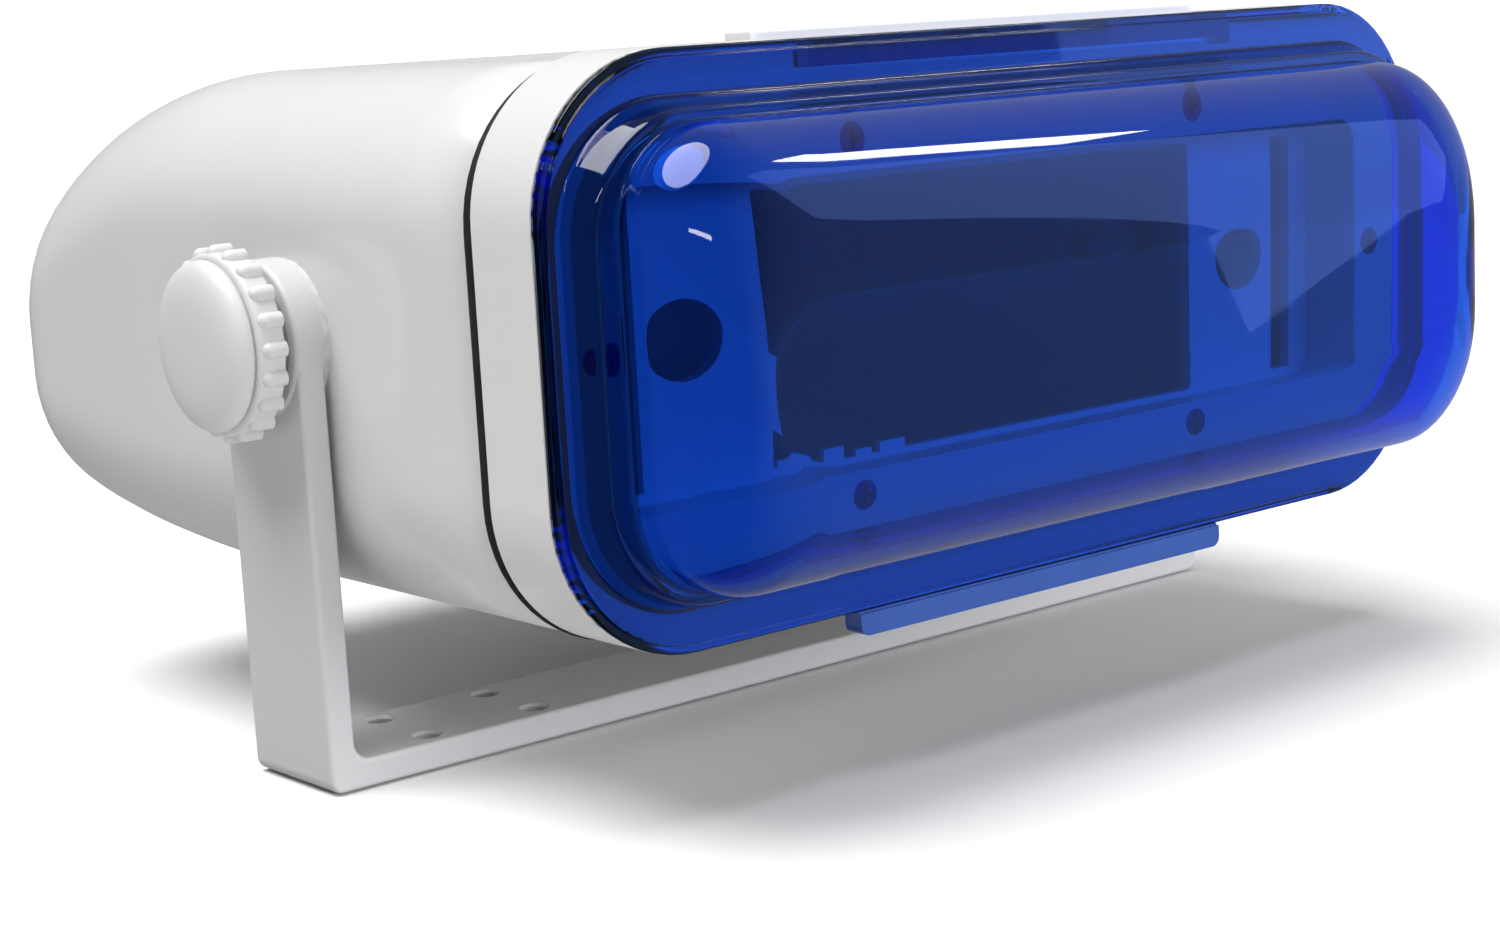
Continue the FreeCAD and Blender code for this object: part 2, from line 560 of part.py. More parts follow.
# ---- clamp knobs (built for the right side) ----
def knob_grip():
    x0, x1 = KNOB_INNER_X, KNOB_INNER_X + KNOB_RIM_T
    core_r = KNOB_R - KNOB_EDGE_R
    rim = rod_x(core_r, x0, x1, 0, PIVOT_Z)
    rim = rim.makeFillet(KNOB_EDGE_R, [e for e in rim.Edges if abs(e.BoundBox.XMin - x1) < TINY])
    hub = rod_x(HUB_R, HUB_X, x0 + 1, 0, PIVOT_Z)
    ribs = []
    rib_x = x1 - RIB_END
    for n in range(KNOB_RIBS):
        a = 2 * pi * n / KNOB_RIBS
        y, z = (core_r - RIB_SINK) * cos(a), PIVOT_Z + (core_r - RIB_SINK) * sin(a)
        ribs.append(rod_x(RIB_R, x0, rib_x, y, z))
        ribs.append(Part.makeSphere(RIB_R, V(rib_x, y, z)))
    body = fused([rim, hub] + ribs)
    pocket = hex_prism(HEX_AF / 2, HEX_X, x1 + 1)
    socket = rod_x(CAP_PLUG_R, x1 - CAP_PLUG_L, x1 + 1, 0, PIVOT_Z)
    return body.cut(rod_x(STUD_R, HUB_X - 1, x1, 0, PIVOT_Z)).cut(pocket).cut(socket)


def hex_prism(inradius, x0, x1):
    corner_r = inradius / cos(pi / 6)
    points = []
    for n in range(7):
        a = pi / 3 * n
        points.append(V(x0, corner_r * cos(a), PIVOT_Z + corner_r * sin(a)))
    return Part.Face(Part.makePolygon(points)).extrude(V(x1 - x0, 0, 0))


def knob_stud():
    shank = rod_x(STUD_R, STUD_TIP_X, HEX_X + 0.5, 0, PIVOT_Z)
    shank = shank.makeChamfer(STUD_CHAMFER, [e for e in shank.Edges if e.BoundBox.XMax < STUD_TIP_X + TINY])
    return fused([shank, hex_prism(HEX_AF / 2, HEX_X, KNOB_INNER_X + KNOB_RIM_T - CAP_PLUG_L)])


def knob_cap():
    """Domed cap: a short plug, a shadow groove, then a rounded, slightly crowned disc."""
    x0 = KNOB_INNER_X + KNOB_RIM_T
    x1 = x0 + CAP_T
    disc = rod_x(KNOB_CAP_R, x0 + CAP_GROOVE, x1, 0, PIVOT_Z)
    disc = disc.makeFillet(CAP_EDGE_R, [e for e in disc.Edges if abs(e.BoundBox.XMin - x1) < TINY])
    crown = Part.makeSphere(CAP_CROWN_R, V(x1 - CAP_CROWN_R, 0, PIVOT_Z))
    plug = rod_x(CAP_PLUG_R, x0 - CAP_PLUG_L, x0 + 1, 0, PIVOT_Z)
    return fused([disc.common(crown), plug])


def knob_washer():
    return tube_x(KNOB_WASHER_R, STUD_R, LEG_OUTER_X + LEG_HEAD_PROUD + SEAT, HUB_X)


# ---- export ----
def main():
    nodes = {
        "gimbal_bracket": gimbal_bracket(),
        "rear_shell": rear_shell(),
        "shell_gasket": shell_gasket(),
        "front_bezel": front_bezel(),
        "cover_seal": seal_ring(FLANGE_FRONT_Y + FLANGE_T + SEAT),
        "face_plate": face_plate(),
        "face_plate_screws": face_plate_screws(),
        "hinge_cap": hinge_cap(),
        "hinge_pin": hinge_pin(),
        "radio_support_strap": radio_support_strap(),
        "strap_screw": strap_screw(),
        "cable_grommet": cable_grommet(),
        "cover_lens": cover_lens(),
        "cover_hinge_leaf": cover_hinge_leaf(),
        "cover_latch_tab": cover_latch_tab(),
    }
    paired = {
        "pivot_insert": pivot_insert(),
        "pivot_washer": pivot_washer(),
        "knob_grip": knob_grip(),
        "knob_cap": knob_cap(),
        "knob_stud": knob_stud(),
        "knob_washer": knob_washer(),
    }
    for name, shape in paired.items():
        nodes[name + "_right"] = shape
        nodes[name + "_left"] = mirrored(shape)
    os.makedirs("parts", exist_ok=True)
    for name, shape in nodes.items():
        shape.exportStep(f"parts/{name}.step")


main()
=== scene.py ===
import json
from math import cos, pi, radians, sin, sqrt

import bmesh
import bpy
from mathutils import Matrix, Vector


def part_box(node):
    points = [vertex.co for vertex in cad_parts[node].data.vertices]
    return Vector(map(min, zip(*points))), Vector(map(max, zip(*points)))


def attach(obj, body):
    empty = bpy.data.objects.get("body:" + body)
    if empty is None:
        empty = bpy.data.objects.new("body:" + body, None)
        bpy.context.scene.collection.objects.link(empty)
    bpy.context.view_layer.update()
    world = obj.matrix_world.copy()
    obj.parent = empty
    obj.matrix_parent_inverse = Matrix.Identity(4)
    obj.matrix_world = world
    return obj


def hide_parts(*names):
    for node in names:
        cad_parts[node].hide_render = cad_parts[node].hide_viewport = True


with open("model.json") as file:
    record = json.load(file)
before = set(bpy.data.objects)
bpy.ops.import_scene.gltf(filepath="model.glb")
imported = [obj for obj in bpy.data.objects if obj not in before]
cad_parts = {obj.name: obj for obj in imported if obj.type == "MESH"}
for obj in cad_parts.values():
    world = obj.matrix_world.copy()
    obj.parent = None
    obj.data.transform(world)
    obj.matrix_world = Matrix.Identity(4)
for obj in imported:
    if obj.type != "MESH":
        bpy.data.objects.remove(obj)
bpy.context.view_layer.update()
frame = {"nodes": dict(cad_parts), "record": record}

MM = 0.001
NODES = frame["nodes"]

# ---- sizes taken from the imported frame, in metres ----
LENS_LOW, LENS_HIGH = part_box("cover_lens")
SHELL_LOW, SHELL_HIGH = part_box("rear_shell")
BEZEL_LOW, BEZEL_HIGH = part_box("front_bezel")
CAP_LOW, CAP_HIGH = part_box("knob_cap_right")

HEAD_Z = (LENS_LOW.z + LENS_HIGH.z) / 2
HEAD_HALF = (LENS_HIGH.x, (LENS_HIGH.z - LENS_LOW.z) / 2)
HEAD_CORNER_R = 28 * MM
PIVOT_Z = (CAP_LOW.z + CAP_HIGH.z) / 2


# ---- meshes made of rings ----
class Ring:
    """A rounded rectangle in the XZ plane at depth y."""

    def __init__(self, half_w, bottom, top, r, y):
        self.half_w, self.bottom, self.top, self.r, self.y = half_w, bottom, top, r, y

    def values(self):
        return (self.half_w, self.bottom, self.top, self.r, self.y)

    def toward(self, other, share):
        """The ring that lies this share of the way to another."""
        return Ring(*(a + (b - a) * share for a, b in zip(self.values(), other.values())))

    def reach(self, other):
        """How far apart two rings are where they are furthest apart."""
        sides = (self.half_w - other.half_w, self.top - other.top, self.bottom - other.bottom)
        return Vector((max(abs(s) for s in sides), self.y - other.y)).length


def centred(half, r, y, z=HEAD_Z):
    """The ring of half sizes (width, height) about the height z."""
    return Ring(half[0], z - half[1], z + half[1], r, y)


def less(half, by):
    """Half sizes drawn in by the same amount on every side."""
    return (half[0] - by, half[1] - by)


CORNER_STEPS = 14
LONG_STEPS = 16                     # along the top and the bottom
SHORT_STEPS = 8                     # along each side
LEAST_R = 0.02 * MM
ROUNDEST = 0.98                     # the most of a side that its two corners may take up
SHARE_LIMIT = 0.48                  # the most of a stretch that one softened corner may use
NEAR_ZERO = 1e-6


def ring_points(ring):
    """Points round a ring, with the same number on each corner and side whatever its size."""
    r = max(LEAST_R, min(ring.r, ROUNDEST * (ring.top - ring.bottom) / 2, ROUNDEST * ring.half_w))
    x, low, high = ring.half_w - r, ring.bottom + r, ring.top - r
    corners = [(x, high), (-x, high), (-x, low), (x, low)]
    points = []
    for corner, (cx, cz) in enumerate(corners):
        for step in range(CORNER_STEPS + 1):
            a = pi / 2 * (corner + step / CORNER_STEPS)
            points.append(Vector((cx + r * cos(a), ring.y, cz + r * sin(a))))
        nx, nz = corners[(corner + 1) % 4]
        steps = LONG_STEPS if corner % 2 == 0 else SHORT_STEPS
        a = pi / 2 * (corner + 1)
        start = Vector((cx + r * cos(a), ring.y, cz + r * sin(a)))
        end = Vector((nx + r * cos(a), ring.y, nz + r * sin(a)))
        points += [start.lerp(end, step / steps) for step in range(1, steps)]
    return points


def softened(rings, radii, steps=5):
    """The same stations with each corner of the section rounded over, like an edge broken in the mould."""
    out = []
    count = len(rings)
    for i, (ring, radius) in enumerate(zip(rings, radii)):
        if radius <= 0 or i in (0, count - 1):
            out.append(ring)
            continue
        before, after = rings[i - 1], rings[i + 1]
        share_in = min(radius / max(ring.reach(before), NEAR_ZERO), SHARE_LIMIT)
        share_out = min(radius / max(ring.reach(after), NEAR_ZERO), SHARE_LIMIT)
        first, last = ring.toward(before, share_in), ring.toward(after, share_out)
        for step in range(steps + 1):
            t = step / steps
            out.append(first.toward(ring, t).toward(ring.toward(last, t), t))
    return out


def loops_mesh(name, loops, closed=False, cap_first=False, cap_last=False):
    """Quads between neighbouring loops. Closed joins the last loop to the first; a cap is one face."""
    n = len(loops[0])
    verts = [p for loop in loops for p in loop]
    faces = []
    pairs = list(zip(range(len(loops)), range(1, len(loops))))
    if closed:
        pairs.append((len(loops) - 1, 0))
    for a, b in pairs:
        for i in range(n):
            j = (i + 1) % n
            faces.append((a * n + i, a * n + j, b * n + j, b * n + i))
    if cap_first:
        faces.append(tuple(reversed(range(n))))
    if cap_last:
        faces.append(tuple(range((len(loops) - 1) * n, len(loops) * n)))
    return solid(name, verts, faces)


def solid(name, verts, faces):
    """A smooth-shaded mesh object with its faces turned outwards."""
    mesh = bpy.data.meshes.new(name)
    mesh.from_pydata(verts, [], faces)
    bm = bmesh.new()
    bm.from_mesh(mesh)
    bmesh.ops.recalc_face_normals(bm, faces=bm.faces)
    bm.to_mesh(mesh)
    bm.free()
    mesh.shade_smooth()
    obj = bpy.data.objects.new(name, mesh)
    bpy.context.scene.collection.objects.link(obj)
    return obj


def joined(first, *others):
    """Several mesh objects made into one."""
    every = [first, *others]
    with bpy.context.temp_override(active_object=first, object=first, selected_editable_objects=every):
        bpy.ops.object.join()
    return first


TURN_STEPS = 64


def turned(name, profile, z, hollow=True):
    """Turned about the line along X at height z, from (x, radius) points, closed up if hollow."""
    loops = []
    for x, r in profile:
        loop = []
        for step in range(TURN_STEPS):
            a = 2 * pi * step / TURN_STEPS
            loop.append(Vector((x, r * cos(a), z + r * sin(a))))
        loops.append(loop)
    return loops_mesh(name, loops, closed=hollow, cap_first=not hollow, cap_last=not hollow)


# ---- the deep shell ----
SHELL_WALL = 3.0 * MM
RIM_OUTER_EDGE = 0.5 * MM           # the open rim's broken edges
RIM_OUTER_LENGTH = 0.6 * MM
RIM_INNER_EDGE = 0.3 * MM
GROMMET_HOLE_R = 9 * MM
BOSS_R = 10 * MM
BOSS_BORE_R = 6.55 * MM
BOSS_TIP_X = 98.3 * MM
BOSS_EDGE = 0.5 * MM
SHELL_SIDE_CLOSE = (20 * MM, 18 * MM)       # length and inset of the rounding into the rear wall
SHELL_TOP_CLOSE = (86 * MM, 46 * MM)
SHELL_BOTTOM_CLOSE = (92 * MM, 17.6 * MM)
STRAIGHT_STEPS = 4
CLOSING_ROUNDEST = 0.94             # the most of a closing ring's height that its corners may take up


def inset(distance, close):
    """How far an elliptic rounding has pulled in at a distance from the closed end."""
    length, depth = close
    u = max(0.0, 1 - distance / length)
    return depth * (1 - sqrt(max(0.0, 1 - u * u)))


def closing_rings(half, z, r, y_open, y_end, side, top, bottom, steps=28):
    """Rings from an open end to a closed one whose sides, top and bottom round over into it."""
    sign = 1 if y_end > y_open else -1
    longest = max(side[0], top[0], bottom[0])
    rings = [centred(half, r, y_open, z)]
    straight = abs(y_end - y_open) - longest
    for step in range(1, STRAIGHT_STEPS):
        rings.append(centred(half, r, y_open + sign * straight * step / STRAIGHT_STEPS, z))
    for step in range(steps + 1):
        distance = longest * (1 - sin(pi / 2 * step / steps))
        low = z - half[1] + inset(distance, bottom)
        high = z + half[1] - inset(distance, top)
        ring_r = min(r, CLOSING_ROUNDEST * (high - low) / 2)
        rings.append(Ring(half[0] - inset(distance, side), low, high, ring_r, y_end - sign * distance))
    return rings


def round_hole(point, centre_z, r, y):
    """The spot on a round hole's edge in the same direction as a point on the wall's outline."""
    away = Vector((point.x, 0, point.z - centre_z)).normalized()
    return Vector((r * away.x, y, centre_z + r * away.z))


def shell():
    """The deep shell from its open rim to its rear wall, with the grommet's hole and both pivot bosses."""
    half = (SHELL_HIGH.x, (SHELL_HIGH.z - SHELL_LOW.z) / 2)
    inner_half, inner_r = less(half, SHELL_WALL), HEAD_CORNER_R - SHELL_WALL
    closes = (SHELL_SIDE_CLOSE, SHELL_TOP_CLOSE, SHELL_BOTTOM_CLOSE)
    rim_y, rear_y, z = SHELL_LOW.y, SHELL_HIGH.y, (SHELL_LOW.z + SHELL_HIGH.z) / 2
    outer = closing_rings(half, z, HEAD_CORNER_R, rim_y + RIM_OUTER_LENGTH, rear_y, *closes)
    inner = closing_rings(inner_half, z, inner_r, rim_y + RIM_INNER_EDGE, rear_y - SHELL_WALL, *closes)
    lip_out = centred(less(half, RIM_OUTER_EDGE), HEAD_CORNER_R, rim_y, z)
    lip_in = centred(less(inner_half, -RIM_INNER_EDGE), inner_r, rim_y, z)
    loops = [ring_points(ring) for ring in list(reversed(inner)) + [lip_in, lip_out] + outer]
    low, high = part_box("cable_grommet")
    centre_z = (low.z + high.z) / 2
    for end, y in ((loops[-1], rear_y), (loops[0], rear_y - SHELL_WALL)):
        loops.append([round_hole(point, centre_z, GROMMET_HOLE_R, y) for point in end])
    skin = loops_mesh("shell_skin", loops, closed=True)
    return joined(skin, pivot_boss(1), pivot_boss(-1))


def pivot_boss(side):
    """White boss round the insert that a knob's stud screws into."""
    root = SHELL_HIGH.x - SHELL_WALL / 2
    profile = [(root, BOSS_R), (BOSS_TIP_X + BOSS_EDGE, BOSS_R), (BOSS_TIP_X, BOSS_R - BOSS_EDGE)]
    profile += [(BOSS_TIP_X, BOSS_BORE_R), (root, BOSS_BORE_R)]
    return turned("pivot_boss", [(side * x, r) for x, r in profile], PIVOT_Z)


# ---- the seal in the seam ----
GASKET_BULGE = 0.3 * MM
GASKET_OVERLAP = 0.9 * MM           # how far its outer lip laps over the shell's edge
GASKET_REACH = 3.6 * MM
GASKET_STEPS = 8


def gasket():
    """Black seal with a rounded outside that stands out of the seam."""
    low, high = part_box("shell_gasket")
    z = (BEZEL_LOW.z + SHELL_LOW.z + BEZEL_HIGH.z + SHELL_HIGH.z) / 4
    rear_y = high.y + GASKET_OVERLAP
    middle_y, half_t = (low.y + rear_y) / 2, (rear_y - low.y) / 2
    half = (HEAD_HALF[0] - GASKET_BULGE / 4, (BEZEL_HIGH.z - BEZEL_LOW.z) / 2 - GASKET_BULGE / 2)
    outside = []
    for step in range(GASKET_STEPS + 1):
        a = pi * step / GASKET_STEPS
        bulged = less(half, GASKET_BULGE * (1 - sin(a)))
        outside.append(centred(bulged, HEAD_CORNER_R, middle_y - half_t * cos(a), z))
    inner = less(half, GASKET_REACH)
    inside = [centred(inner, HEAD_CORNER_R - GASKET_REACH, y, z) for y in (rear_y, low.y)]
    return loops_mesh("gasket_skin", [ring_points(ring) for ring in outside + inside], closed=True)


# ---- the knobs' caps ----
CAP_STEPS = 28
CAP_FULLNESS = 2.9                  # 2 would be an ellipse, more is squarer
CAP_PLUG_R = 13 * MM
CAP_DISC_GAP = 1.9 * MM             # from the plug's end to the disc
CAP_MIDDLE_R = 0.5 * MM


def knob_cap(side):
    """A full, softly domed cap on a short plug."""
    rim_r = (CAP_HIGH.z - CAP_LOW.z) / 2
    disc_x = CAP_LOW.x + CAP_DISC_GAP
    profile = [(CAP_LOW.x, CAP_PLUG_R), (disc_x, CAP_PLUG_R)]
    for step in range(CAP_STEPS + 1):
        a = pi / 2 * step / CAP_STEPS
        out = cos(a) ** (2 / CAP_FULLNESS) * rim_r
        up = sin(a) ** (2 / CAP_FULLNESS) * (CAP_HIGH.x - disc_x)
        profile.append((disc_x + up, max(out, CAP_MIDDLE_R)))
    return turned("knob_cap", [(side * x, r) for x, r in profile], PIVOT_Z, hollow=False)


# ---- the blue cover ----
COVER_WALL = 2.4 * MM
FLANGE_T = 1.9 * MM
FLANGE_EDGE_R = 0.5 * MM
LIP_W = 1.5 * MM
LIP_STEP = 0.6 * MM
LIP_DRAFT = 0.1 * MM
LIP_FOOT_R = 0.3 * MM
LIP_EDGE_R = 0.35 * MM
TIER_DEPTH = 6.8 * MM
TIER_BASE_HALF = (110.2 * MM, 42.8 * MM)
TIER_TOP_HALF = (108.6 * MM, 41.2 * MM)
TIER_CORNER_R = 22 * MM
TIER_OUTER_R = (1.0 * MM, 1.3 * MM, 1.6 * MM)       # softened edges: foot, top edge, foot of the dome
TIER_INNER_R = (0, 0.6 * MM, 2.2 * MM)
DOME_HALF = (103.6 * MM, 39.1 * MM)
DOME_CORNER_R = 17.5 * MM
DOME_SIDE_CLOSE = (16 * MM, 12 * MM)
DOME_TOP_CLOSE = (19 * MM, 27 * MM)
DOME_BOTTOM_CLOSE = (16 * MM, 20 * MM)


def cover_section(wall):
    """Stations from the flange's rear face to the dome's front, for the outer skin or the inner one."""
    rear_y = LENS_HIGH.y
    front_y = rear_y - FLANGE_T
    tier_y = front_y - TIER_DEPTH + wall
    dome_y = LENS_LOW.y + wall
    tier_base, tier_top = less(TIER_BASE_HALF, wall), less(TIER_TOP_HALF, wall)
    if wall == 0:
        flange = [
            centred(HEAD_HALF, HEAD_CORNER_R, rear_y),
            centred(HEAD_HALF, HEAD_CORNER_R, front_y + LIP_STEP),
            centred(less(HEAD_HALF, LIP_W), HEAD_CORNER_R - LIP_W, front_y + LIP_STEP),
            centred(less(HEAD_HALF, LIP_W + LIP_DRAFT), HEAD_CORNER_R - LIP_W, front_y),
        ]
        radii = [0, FLANGE_EDGE_R, LIP_FOOT_R, LIP_EDGE_R, *TIER_OUTER_R, 0]
        foot_y = front_y
    else:
        flange = []
        radii = [*TIER_INNER_R, 0]
        foot_y = rear_y
    tier_r, dome_r = TIER_CORNER_R - wall, DOME_CORNER_R - wall
    tier = [
        centred(tier_base, tier_r, foot_y),
        centred(tier_top, tier_r, tier_y),
        centred(less(DOME_HALF, wall), dome_r, tier_y),
    ]
    dome = closing_rings(
        less(DOME_HALF, wall), HEAD_Z, dome_r, tier_y, dome_y,
        DOME_SIDE_CLOSE, DOME_TOP_CLOSE, DOME_BOTTOM_CLOSE,
    )[1:]
    return softened(flange + tier + dome[:1], radii) + dome[1:]


def cover():
    """The hollow cover: its inner skin, its flange and its outer skin."""
    outer, inner = cover_section(0.0), cover_section(COVER_WALL)
    loops = [ring_points(ring) for ring in list(reversed(inner)) + outer]
    return loops_mesh("cover_skin", loops, cap_first=True, cap_last=True)


# ---- materials ----
ACRYLIC_TINT = (0.010, 0.110, 0.90)         # what light keeps on its way in and out of one wall
ACRYLIC_STEP_PAINTED_SHADE = (0.003, 0.030, 0.20)         # painted shade: the tint made darker on the steps, for light that runs along a wall there
ACRYLIC_SHADE = (0.79, 0.79, 0.81, 1)       # lamp light let through each face
ACRYLIC_IOR = 1.47
BLOCK_BLUE = (0.05, 0.12, 0.46)
BLOCK_BLUE_LIGHTER = tuple(c * 1.15 for c in BLOCK_BLUE)
STEP_Y = (-88.4 * MM, -82.2 * MM)           # the step between flange and pillow, front and rear
STEP_FADE = 0.4 * MM
ABS_IOR = 1.53


def material(name):
    """A new material with its node tree and its shader."""
    mat = bpy.data.materials.new(name)
    mat.use_nodes = True
    nt = mat.node_tree
    return mat, nt, nt.nodes["Principled BSDF"]


def node(nt, kind, **values):
    """A new node with some of its settings, or of its inputs, set."""
    n = nt.nodes.new(kind)
    for key, value in values.items():
        if hasattr(n, key):
            setattr(n, key, value)
        else:
            n.inputs[key.replace("_", " ")].default_value = value
    return n


def noise(nt, scale, detail=3.0, stretch=(1, 1, 1)):
    """Noise in the object's own metres, scale in features per metre."""
    where = node(nt, "ShaderNodeTexCoord")
    mapping = node(nt, "ShaderNodeMapping")
    mapping.inputs["Scale"].default_value = stretch
    n = node(nt, "ShaderNodeTexNoise", Scale=scale, Detail=detail)
    nt.links.new(where.outputs["Object"], mapping.inputs["Vector"])
    nt.links.new(mapping.outputs["Vector"], n.inputs["Vector"])
    return n.outputs["Fac"]


def mapped(nt, value, low, high, from_low=0.3, from_high=0.7):
    """A value brought from one range into another; noise mostly lies between the first range's defaults."""
    n = node(nt, "ShaderNodeMapRange")
    n.inputs["From Min"].default_value = from_low
    n.inputs["From Max"].default_value = from_high
    n.inputs["To Min"].default_value = low
    n.inputs["To Max"].default_value = high
    nt.links.new(value, n.inputs["Value"])
    return n.outputs["Result"]


def bump(nt, bsdf, height, distance, strength=1.0, after=None):
    """Relief of a depth, on top of another relief if one is given."""
    n = node(nt, "ShaderNodeBump")
    n.inputs["Distance"].default_value = distance
    n.inputs["Strength"].default_value = strength
    nt.links.new(height, n.inputs["Height"])
    if after is not None:
        nt.links.new(after, n.inputs["Normal"])
    nt.links.new(n.outputs["Normal"], bsdf.inputs["Normal"])
    return n.outputs["Normal"]


def tinted(nt, bsdf, factor, colour_a, colour_b):
    """The shader's colour, from the first at a factor of 0 to the second at 1."""
    mix = node(nt, "ShaderNodeMix", data_type="RGBA")
    mix.inputs["A"].default_value = (*colour_a, 1)
    mix.inputs["B"].default_value = (*colour_b, 1)
    nt.links.new(factor, mix.inputs["Factor"])
    nt.links.new(mix.outputs["Result"], bsdf.inputs["Base Color"])


def moulded_white(name, colour, roughness, grain=0.0):
    """Moulded ABS: a faint unevenness of tone, a soft orange peel and, if grain is given, a fine texture."""
    mat, nt, bsdf = material(name)
    tone = noise(nt, 18, 4)
    lighter = tuple(min(1.0, c * 1.005) for c in colour)
    darker = tuple(c * 0.993 for c in colour)
    tinted(nt, bsdf, mapped(nt, tone, 0, 1), darker, lighter)
    wear = noise(nt, 140, 5)
    nt.links.new(mapped(nt, wear, roughness * 0.95, roughness * 1.1), bsdf.inputs["Roughness"])
    peel = bump(nt, bsdf, noise(nt, 55, 2), 0.02 * MM, 0.12)
    if grain:
        bump(nt, bsdf, noise(nt, 2600, 2), grain, 0.6, after=peel)
    bsdf.inputs["IOR"].default_value = ABS_IOR
    bsdf.inputs["Subsurface Weight"].default_value = 0.08
    bsdf.inputs["Subsurface Radius"].default_value = (1.0, 0.9, 0.8)
    bsdf.inputs["Subsurface Scale"].default_value = 1.2 * MM
    return mat


def painted_shade_step_mask(nt):
    """1 on the step between flange and pillow, where the walls are seen along their length and shade is
    painted; 0 elsewhere.
    """
    where = node(nt, "ShaderNodeTexCoord")
    split = node(nt, "ShaderNodeSeparateXYZ")
    nt.links.new(where.outputs["Object"], split.inputs["Vector"])
    behind = mapped(nt, split.outputs["Y"], 0, 1, STEP_Y[0] - STEP_FADE, STEP_Y[0])
    ahead = mapped(nt, split.outputs["Y"], 1, 0, STEP_Y[1], STEP_Y[1] + STEP_FADE)
    both = node(nt, "ShaderNodeMath", operation="MULTIPLY")
    nt.links.new(behind, both.inputs[0])
    nt.links.new(ahead, both.inputs[1])
    return both.outputs["Value"]


def blue_block():
    """The same plastic in thick blocks, where it lets little light through."""
    mat, nt, bsdf = material("blue_block")
    tone = noise(nt, 60, 3)
    tinted(nt, bsdf, mapped(nt, tone, 0, 1), BLOCK_BLUE, BLOCK_BLUE_LIGHTER)
    nt.links.new(mapped(nt, noise(nt, 260, 4), 0.14, 0.24), bsdf.inputs["Roughness"])
    bump(nt, bsdf, noise(nt, 40, 2), 0.02 * MM, 0.2)
    bsdf.inputs["Transmission Weight"].default_value = 0.3
    bsdf.inputs["IOR"].default_value = ACRYLIC_IOR
    return mat


def blue_acrylic():
    """Clear deep-blue acrylic, polished, with faint hairlines and a slow ripple. Lamp light passes it."""
    mat, nt, bsdf = material("blue_acrylic")
    # painted shade: the step between flange and pillow gets the darker tint
    tinted(nt, bsdf, painted_shade_step_mask(nt), ACRYLIC_TINT, ACRYLIC_STEP_PAINTED_SHADE)
    bsdf.inputs["Transmission Weight"].default_value = 1.0
    bsdf.inputs["IOR"].default_value = ACRYLIC_IOR
    hair = noise(nt, 260, 6, stretch=(0.15, 1, 1))
    nt.links.new(mapped(nt, hair, 0.012, 0.05, 0.45, 0.75), bsdf.inputs["Roughness"])
    bump(nt, bsdf, noise(nt, 16, 2), 0.10 * MM, 0.35)
    clear = node(nt, "ShaderNodeBsdfTransparent")
    clear.inputs["Color"].default_value = ACRYLIC_SHADE
    path = node(nt, "ShaderNodeLightPath")
    mix = node(nt, "ShaderNodeMixShader")
    out = nt.nodes["Material Output"]
    nt.links.new(path.outputs["Is Shadow Ray"], mix.inputs["Fac"])
    nt.links.new(bsdf.outputs["BSDF"], mix.inputs[1])
    nt.links.new(clear.outputs["BSDF"], mix.inputs[2])
    nt.links.new(mix.outputs["Shader"], out.inputs["Surface"])
    return mat


def rubber(name, colour):
    """Matt rubber with a fine uneven surface."""
    mat, nt, bsdf = material(name)
    tinted(nt, bsdf, mapped(nt, noise(nt, 300, 4), 0, 1), colour, tuple(c * 1.6 for c in colour))
    nt.links.new(mapped(nt, noise(nt, 700, 3), 0.55, 0.8), bsdf.inputs["Roughness"])
    bump(nt, bsdf, noise(nt, 2200, 2), 0.05 * MM, 0.6)
    return mat


def metal(name, colour, roughness, stretch=(1, 1, 1)):
    """Metal with fine marks, stretched along the axes where stretch is under 1."""
    mat, nt, bsdf = material(name)
    brushed = noise(nt, 900, 4, stretch=stretch)
    tinted(nt, bsdf, mapped(nt, brushed, 0, 1), tuple(c * 0.85 for c in colour), colour)
    bsdf.inputs["Metallic"].default_value = 1.0
    nt.links.new(mapped(nt, brushed, roughness * 0.7, roughness * 1.4), bsdf.inputs["Roughness"])
    bump(nt, bsdf, brushed, 0.02 * MM, 0.5)
    return mat


WHITES = {                          # colour, roughness and depth of the moulded grain
    "shell_white": ((0.74, 0.74, 0.742), 0.20, 0),
    "bezel_white": ((0.77, 0.77, 0.768), 0.24, 0),
    "face_white": ((0.80, 0.80, 0.79), 0.34, 0.03 * MM),
    "bracket_white": ((0.66, 0.66, 0.66), 0.36, 0.03 * MM),
    "knob_white": ((0.72, 0.72, 0.72), 0.42, 0.04 * MM),
}
RUBBERS = {"black_rubber": (0.012, 0.012, 0.013), "grey_rubber": (0.55, 0.55, 0.54)}
METALS = {                          # colour, roughness and stretch of the marks
    "screw_steel": ((0.62, 0.62, 0.64), 0.3, (1, 1, 1)),
    "strap_steel": ((0.55, 0.56, 0.58), 0.38, (1, 0.1, 0.1)),
    "insert_brass": ((0.78, 0.58, 0.26), 0.32, (0.1, 1, 1)),
}
BY_SLOT = {slot: moulded_white(slot, *look) for slot, look in WHITES.items()}
BY_SLOT["blue_cover"] = blue_acrylic()
BY_SLOT.update({slot: rubber(slot, colour) for slot, colour in RUBBERS.items()})
BY_SLOT.update({slot: metal(slot, *look) for slot, look in METALS.items()})
BLUE_BLOCK = blue_block()
SCREW_DARK = metal("screw_dark", (0.27, 0.27, 0.28), 0.4)


def dress(obj, mat):
    """One material on the whole object."""
    obj.data.materials.clear()
    obj.data.materials.append(mat)


